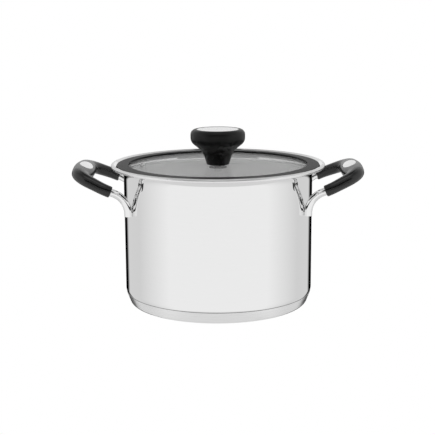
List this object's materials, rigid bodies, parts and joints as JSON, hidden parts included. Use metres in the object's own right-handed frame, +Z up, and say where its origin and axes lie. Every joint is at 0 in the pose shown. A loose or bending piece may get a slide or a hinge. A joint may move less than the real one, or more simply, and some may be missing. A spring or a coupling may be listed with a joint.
{
  "type": "stock pot",
  "caption": "Mirror-polished steel stock pot with pouring rim, capsule base, two black side grips and a glass lid with a black ring and flared knob.",
  "frame": {"origin": "centre of the base's flat underside, on the pot's axis", "axes": "+Z up along the pot's axis, +X towards the right-hand handle, so the handles lie along X; the vent is on the -X side of the lid"},
  "size_m": [0.3094, 0.2284, 0.187],
  "materials": {
    "polished_steel": "mirror-polished stainless steel",
    "satin_steel": "satin",
    "aluminium": "matt, hidden in the base",
    "black_plastic": "satin moulded phenolic",
    "lid_glass": "clear polished",
    "black_silicone": "soft satin",
    "brass": "machined, hidden in the knob"
  },
  "bodies": {
    "pot": {"pot_shell": "polished_steel", "heat_disc": "aluminium", "base_cap": "polished_steel", "handle_legs_left": "polished_steel", "handle_legs_right": "polished_steel", "grip_left": "black_plastic", "grip_right": "black_plastic", "grip_inlay_left": "satin_steel", "grip_inlay_right": "satin_steel"},
    "lid": {"lid_glass": "lid_glass", "lid_ring": "black_silicone", "vent_eyelet": "polished_steel", "vent_washer": "satin_steel", "knob_body": "black_plastic", "knob_disc": "satin_steel", "knob_insert": "brass", "knob_screw": "satin_steel", "knob_washer": "satin_steel", "knob_seal_upper": "black_silicone", "knob_seal_lower": "black_silicone"}
  },
  "joints": [
    {"name": "lid_lift", "type": "slide", "parent": "pot", "child": "lid", "axis": [0, 0, 1], "range_m": [0, 0.1]}
  ]
}
